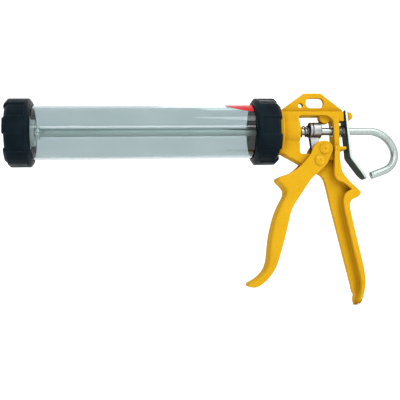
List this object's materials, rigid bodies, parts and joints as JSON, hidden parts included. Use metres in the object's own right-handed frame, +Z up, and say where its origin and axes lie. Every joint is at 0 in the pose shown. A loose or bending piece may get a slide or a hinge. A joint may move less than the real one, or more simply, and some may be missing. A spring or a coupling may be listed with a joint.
{
  "type": "caulking gun",
  "caption": "Hand-operated caulking gun with a clear screw-capped barrel, lever trigger, push rod with pull hook, and a release plate.",
  "frame": {"origin": "centre of the bounding box's base, level with the bottom of the handle", "axes": "+X along the barrel from the nozzle end to the pull hook, +Y across the gun, +Z up"},
  "size_m": [0.4058, 0.0692, 0.2216],
  "materials": {
    "yellow_coat": "satin",
    "black_moulding": "satin",
    "clear_barrel": "gloss",
    "seal_rubber": "matte",
    "rod_steel": "satin",
    "spring_steel": "satin",
    "zinc_plate": "satin",
    "bush_bronze": "satin",
    "white_moulding": "satin"
  },
  "bodies": {
    "frame": {"frame_casting": "yellow_coat", "barrel_tube": "clear_barrel", "rear_cap": "black_moulding", "rear_gasket": "seal_rubber", "spigot_washer": "rod_steel", "circlip": "rod_steel", "front_rod_bush": "bush_bronze", "rear_rod_bush": "bush_bronze", "pivot_pin": "yellow_coat", "drive_spring": "spring_steel", "release_spring": "spring_steel"},
    "piston": {"piston_disc": "black_moulding", "piston_hub": "white_moulding"},
    "rod": {"push_rod": "rod_steel", "front_lock_nut": "zinc_plate", "piston_washer": "rod_steel", "rear_lock_nut": "zinc_plate"},
    "trigger": {"trigger": "yellow_coat", "drive_pin": "yellow_coat"},
    "jaw": {"drive_jaw": "rod_steel"},
    "release_lever": {"release_plate": "zinc_plate"},
    "front_seal": {"front_gasket": "seal_rubber"},
    "front_closure": {"front_cap": "black_moulding"}
  },
  "joints": [
    {"name": "trigger_squeeze", "type": "hinge", "parent": "frame", "child": "trigger", "pos_m": [0.11463, 0, 0.14972], "axis": [0, -1, 0], "range_deg": [0, 32], "stiffness_Nm_per_rad": 0.8, "springref_deg": -22.92},
    {"name": "jaw_stroke", "type": "slide", "parent": "frame", "child": "jaw", "axis": [-1, 0, 0], "range_m": [0, 0.0075], "deforming": ["drive_spring"]},
    {"name": "release_tilt", "type": "hinge", "parent": "frame", "child": "release_lever", "pos_m": [0.14523, 0, 0.19732], "axis": [0, 1, 0], "range_deg": [0, 4], "stiffness_Nm_per_rad": 0.6, "springref_deg": -14.32, "deforming": ["release_spring"]},
    {"name": "piston_slide", "type": "slide", "parent": "frame", "child": "piston", "axis": [1, 0, 0], "range_m": [0, 0.222]},
    {"name": "rod_turn", "type": "hinge", "parent": "piston", "child": "rod", "pos_m": [0.07923, 0, 0.18132], "axis": [1, 0, 0], "continuous": true},
    {"name": "cap_travel", "type": "slide", "parent": "frame", "child": "front_seal", "axis": [-1, 0, 0], "range_m": [0, 0.0201]},
    {"name": "cap_turn", "type": "hinge", "parent": "front_seal", "child": "front_closure", "pos_m": [-0.20147, 0, 0.18132], "axis": [-1, 0, 0], "range_deg": [0, 1800]}
  ],
  "couplings": [
    {"joint": "jaw_stroke", "follows": "trigger_squeeze", "m_per_rad": 0.0128},
    {"joint": "cap_travel", "follows": "cap_turn", "m_per_rad": 0.00063662}
  ]
}
